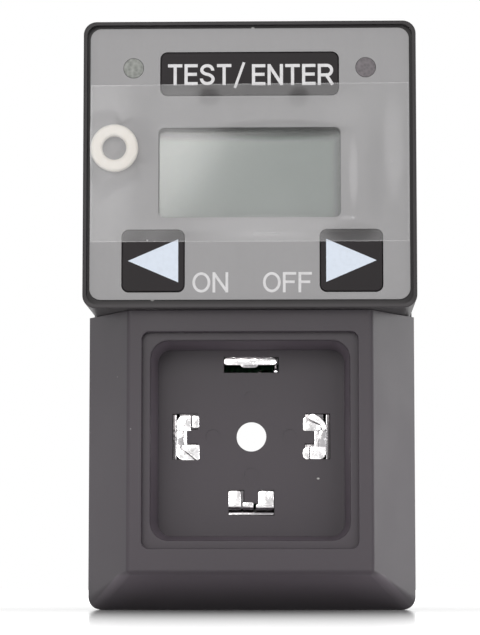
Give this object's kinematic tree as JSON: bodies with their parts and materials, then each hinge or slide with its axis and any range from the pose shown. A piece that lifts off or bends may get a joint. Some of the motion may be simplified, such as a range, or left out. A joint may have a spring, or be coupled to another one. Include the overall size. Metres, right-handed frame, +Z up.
{
  "type": "digital timer switch",
  "caption": "Plug-through digital timer for a solenoid valve: display module with sprung keys over a square connector socket, a through bore for the fixing screw, flat blades on the back.",
  "frame": {"origin": "centre of the overall box in X and Y, on the bottom face that the case stands on", "axes": "-Y is the front with the display and the socket, +X is to the right seen from the front, +Z is up"},
  "size_m": [0.0406, 0.0416, 0.0715],
  "materials": {
    "housing_plastic": "fine grain, black-grey",
    "frame_plastic": "fine grain, near black",
    "socket_plastic": "fine grain, charcoal",
    "panel_film": "satin grey print on film",
    "clear_pane": "clear, glossy",
    "lcd_cell": "grey-green display glass",
    "reflector_foil": "dull foil",
    "seal_rubber": "matt",
    "holder_plastic": "satin black",
    "board_laminate": "green solder mask",
    "key_plastic": "satin black",
    "arrow_inlay": "bluish white print",
    "plunger_plastic": "satin black",
    "switch_body": "satin dark grey",
    "green_lens": "unlit green lens",
    "red_lens": "unlit red lens",
    "led_body": "milky chip",
    "chip_resin": "moulded resin",
    "can_metal": "plain can",
    "can_sleeve": "shrink sleeve",
    "film_box": "yellow box",
    "varistor_coat": "blue epoxy",
    "resistor_body": "grey-green coat",
    "tinned_contact": "bright tin",
    "tinned_blade": "tin",
    "wire_sleeve": "soft sleeve",
    "screw_steel": "zinc",
    "ring_nylon": "natural nylon",
    "clear_tape": "clear film"
  },
  "bodies": {
    "case": {"main_housing": "housing_plastic", "housing_seal": "seal_rubber", "display_frame": "frame_plastic", "socket_cover": "socket_plastic", "overlay_panel": "panel_film", "lcd_window": "clear_pane", "lcd_glass": "lcd_cell", "lcd_reflector": "reflector_foil", "zebra_strip": "seal_rubber", "lcd_holder": "holder_plastic", "display_board": "board_laminate", "test_enter_switch": "switch_body", "left_switch": "switch_body", "right_switch": "switch_body", "left_indicator": "green_lens", "right_indicator": "red_lens", "left_led": "led_body", "right_led": "led_body", "microcontroller": "chip_resin", "quartz_crystal": "can_metal", "board_header": "holder_plastic", "power_board": "board_laminate", "film_capacitor": "film_box", "electrolytic_capacitor": "can_sleeve", "varistor": "varistor_coat", "triac": "chip_resin", "bridge_rectifier": "chip_resin", "fuse_resistor": "resistor_body", "terminal_board": "board_laminate", "contact_1": "tinned_contact", "contact_2": "tinned_contact", "contact_3": "tinned_contact", "earth_contact": "tinned_contact", "blade_1": "tinned_blade", "blade_2": "tinned_blade", "blade_3": "tinned_blade", "earth_blade": "tinned_blade", "link_wires": "wire_sleeve", "board_screws": "screw_steel", "case_screws": "screw_steel", "seal_ring": "ring_nylon", "tape_strip": "clear_tape"},
    "test_enter_key": {"test_enter_key": "key_plastic", "test_enter_plunger": "plunger_plastic"},
    "left_key": {"left_key": "key_plastic", "left_plunger": "plunger_plastic", "left_arrow": "arrow_inlay"},
    "right_key": {"right_key": "key_plastic", "right_plunger": "plunger_plastic", "right_arrow": "arrow_inlay"}
  },
  "joints": [
    {"name": "test_enter_press", "type": "slide", "parent": "case", "child": "test_enter_key", "axis": [0, 1, 0], "range_m": [0, 0.0003], "stiffness_N_per_m": 4000, "springref_m": -0.0002},
    {"name": "left_press", "type": "slide", "parent": "case", "child": "left_key", "axis": [0, 1, 0], "range_m": [0, 0.0003], "stiffness_N_per_m": 4000, "springref_m": -0.0002},
    {"name": "right_press", "type": "slide", "parent": "case", "child": "right_key", "axis": [0, 1, 0], "range_m": [0, 0.0003], "stiffness_N_per_m": 4000, "springref_m": -0.0002}
  ]
}
